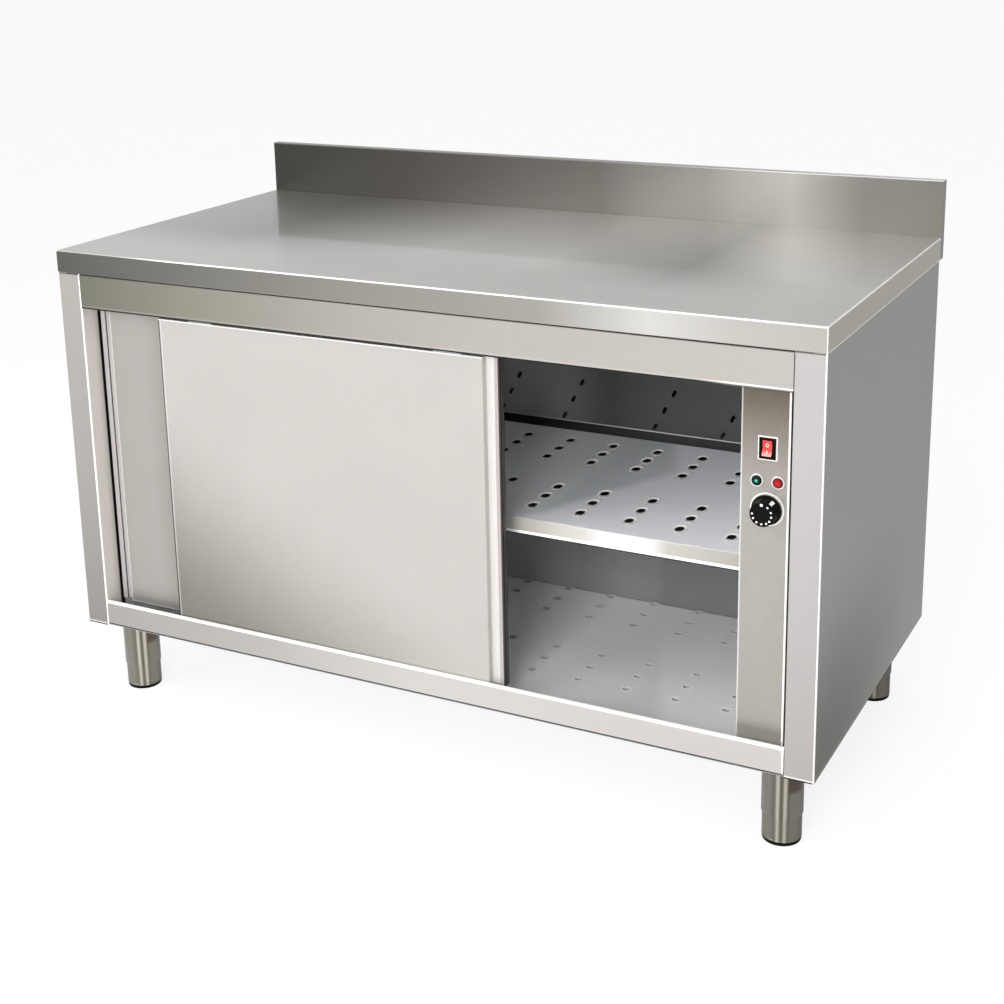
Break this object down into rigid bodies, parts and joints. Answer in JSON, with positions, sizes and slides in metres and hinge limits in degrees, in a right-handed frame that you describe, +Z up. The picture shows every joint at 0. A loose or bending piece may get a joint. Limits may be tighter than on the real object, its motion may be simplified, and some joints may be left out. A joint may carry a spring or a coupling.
{
  "type": "plate warmer cabinet",
  "caption": "Stainless steel heated plate cupboard with a worktop and rear upstand, sliding doors, a slotted lift-off shelf, a right-hand control panel and adjustable legs.",
  "frame": {"origin": "on the ground, below the middle of the worktop's outline", "axes": "+X to the right as the user faces the doors, +Y to the back, +Z up"},
  "size_m": [1.4, 0.7, 0.95],
  "materials": {
    "worktop_steel": "satin, brushed along the worktop",
    "case_steel": "satin, brushed",
    "door_steel": "fine satin",
    "liner_steel": "mill finish, slightly dull",
    "shelf_steel": "mill finish",
    "galvanised_steel": "zinc-coated, matt",
    "element_steel": "heat-darkened",
    "leg_steel": "polished tube with a dull black foot pad",
    "mineral_wool": "matt fibrous",
    "board": "raw chipboard",
    "white_nylon": "matt",
    "black_plastic": "satin moulded",
    "black_rubber": "matt",
    "chromed_plastic": "bright",
    "green_plastic": "glossy translucent",
    "red_plastic": "glossy translucent",
    "copper": "drawn copper"
  },
  "bodies": {
    "cabinet": {"worktop": "worktop_steel", "upstand": "worktop_steel", "worktop_board": "board", "left_side_panel": "case_steel", "right_side_panel": "case_steel", "front_fascia": "case_steel", "bottom_rail": "case_steel", "base_panel": "galvanised_steel", "back_panel": "galvanised_steel", "left_inner_wall": "liner_steel", "right_inner_wall": "liner_steel", "rear_inner_wall": "liner_steel", "ceiling_panel": "liner_steel", "duct_panel": "liner_steel", "heater_cover": "liner_steel", "slotted_floor": "liner_steel", "insulation": "mineral_wool", "shelf_brackets": "liner_steel", "door_track": "galvanised_steel", "track_stops": "black_rubber", "door_guide": "white_nylon", "control_panel": "case_steel", "switch_housing": "black_plastic", "lamp_bezels": "chromed_plastic", "green_lens": "green_plastic", "red_lens": "red_plastic", "thermostat_body": "black_plastic", "sensing_bulb": "copper", "heating_elements": "element_steel", "element_brackets": "galvanised_steel", "fan_frame": "black_plastic", "fan_bulkhead": "galvanised_steel", "terminal_block": "white_nylon", "wiring_loom": "black_rubber", "cable_gland": "black_plastic", "leg_tubes": "leg_steel", "leg_nuts": "galvanised_steel", "panel_screws": "galvanised_steel"},
    "shelf": {"shelf": "shelf_steel"},
    "rocker": {"rocker": "red_plastic"},
    "thermostat_knob": {"thermostat_knob": "black_plastic"},
    "fan_rotor": {"fan_rotor": "black_plastic"},
    "front_door": {"front_door_skin": "door_steel", "front_door_back": "liner_steel", "front_door_core": "mineral_wool", "front_door_pull": "door_steel", "front_door_hangers": "galvanised_steel"},
    "front_door_left_roller": {"front_door_left_roller": "white_nylon"},
    "front_door_right_roller": {"front_door_right_roller": "white_nylon"},
    "rear_door": {"rear_door_skin": "door_steel", "rear_door_back": "liner_steel", "rear_door_core": "mineral_wool", "rear_door_pull": "door_steel", "rear_door_hangers": "galvanised_steel"},
    "rear_door_left_roller": {"rear_door_left_roller": "white_nylon"},
    "rear_door_right_roller": {"rear_door_right_roller": "white_nylon"},
    "front_left_foot": {"front_left_foot": "leg_steel"},
    "front_right_foot": {"front_right_foot": "leg_steel"},
    "rear_left_foot": {"rear_left_foot": "leg_steel"},
    "rear_right_foot": {"rear_right_foot": "leg_steel"}
  },
  "joints": [
    {"name": "front_door_slide", "type": "slide", "parent": "cabinet", "child": "front_door", "axis": [1, 0, 0], "range_m": [-0.152, 0.402]},
    {"name": "rear_door_slide", "type": "slide", "parent": "cabinet", "child": "rear_door", "axis": [1, 0, 0], "range_m": [0, 0.5425]},
    {"name": "front_door_left_roller_spin", "type": "hinge", "parent": "front_door", "child": "front_door_left_roller", "pos_m": [-0.401, -0.33775, 0.77805], "axis": [0, 1, 0], "continuous": true},
    {"name": "front_door_right_roller_spin", "type": "hinge", "parent": "front_door", "child": "front_door_right_roller", "pos_m": [0.083, -0.33775, 0.77805], "axis": [0, 1, 0], "continuous": true},
    {"name": "rear_door_left_roller_spin", "type": "hinge", "parent": "rear_door", "child": "rear_door_left_roller", "pos_m": [-0.555, -0.30325, 0.77805], "axis": [0, 1, 0], "continuous": true},
    {"name": "rear_door_right_roller_spin", "type": "hinge", "parent": "rear_door", "child": "rear_door_right_roller", "pos_m": [-0.071, -0.30325, 0.77805], "axis": [0, 1, 0], "continuous": true},
    {"name": "shelf_lift", "type": "slide", "parent": "cabinet", "child": "shelf", "axis": [0, 0, 1], "range_m": [0, 0.06]},
    {"name": "rocker_tilt", "type": "hinge", "parent": "cabinet", "child": "rocker", "pos_m": [0.606, -0.316, 0.65], "axis": [1, 0, 0], "range_deg": [0, 16]},
    {"name": "thermostat_turn", "type": "hinge", "parent": "cabinet", "child": "thermostat_knob", "pos_m": [0.607, -0.33, 0.555], "axis": [0, 1, 0], "range_deg": [0, 270]},
    {"name": "fan_spin", "type": "hinge", "parent": "cabinet", "child": "fan_rotor", "pos_m": [0.4375, 0.2146, 0.2839], "axis": [1, 0, 0], "continuous": true},
    {"name": "front_left_foot_screw", "type": "slide", "parent": "cabinet", "child": "front_left_foot", "axis": [0, 0, -1], "range_m": [0, 0.025]},
    {"name": "front_right_foot_screw", "type": "slide", "parent": "cabinet", "child": "front_right_foot", "axis": [0, 0, -1], "range_m": [0, 0.025]},
    {"name": "rear_left_foot_screw", "type": "slide", "parent": "cabinet", "child": "rear_left_foot", "axis": [0, 0, -1], "range_m": [0, 0.025]},
    {"name": "rear_right_foot_screw", "type": "slide", "parent": "cabinet", "child": "rear_right_foot", "axis": [0, 0, -1], "range_m": [0, 0.025]}
  ],
  "couplings": [
    {"joint": "front_door_left_roller_spin", "follows": "front_door_slide", "rad_per_m": 90.909},
    {"joint": "front_door_right_roller_spin", "follows": "front_door_slide", "rad_per_m": 90.909},
    {"joint": "rear_door_left_roller_spin", "follows": "rear_door_slide", "rad_per_m": 90.909},
    {"joint": "rear_door_right_roller_spin", "follows": "rear_door_slide", "rad_per_m": 90.909}
  ]
}
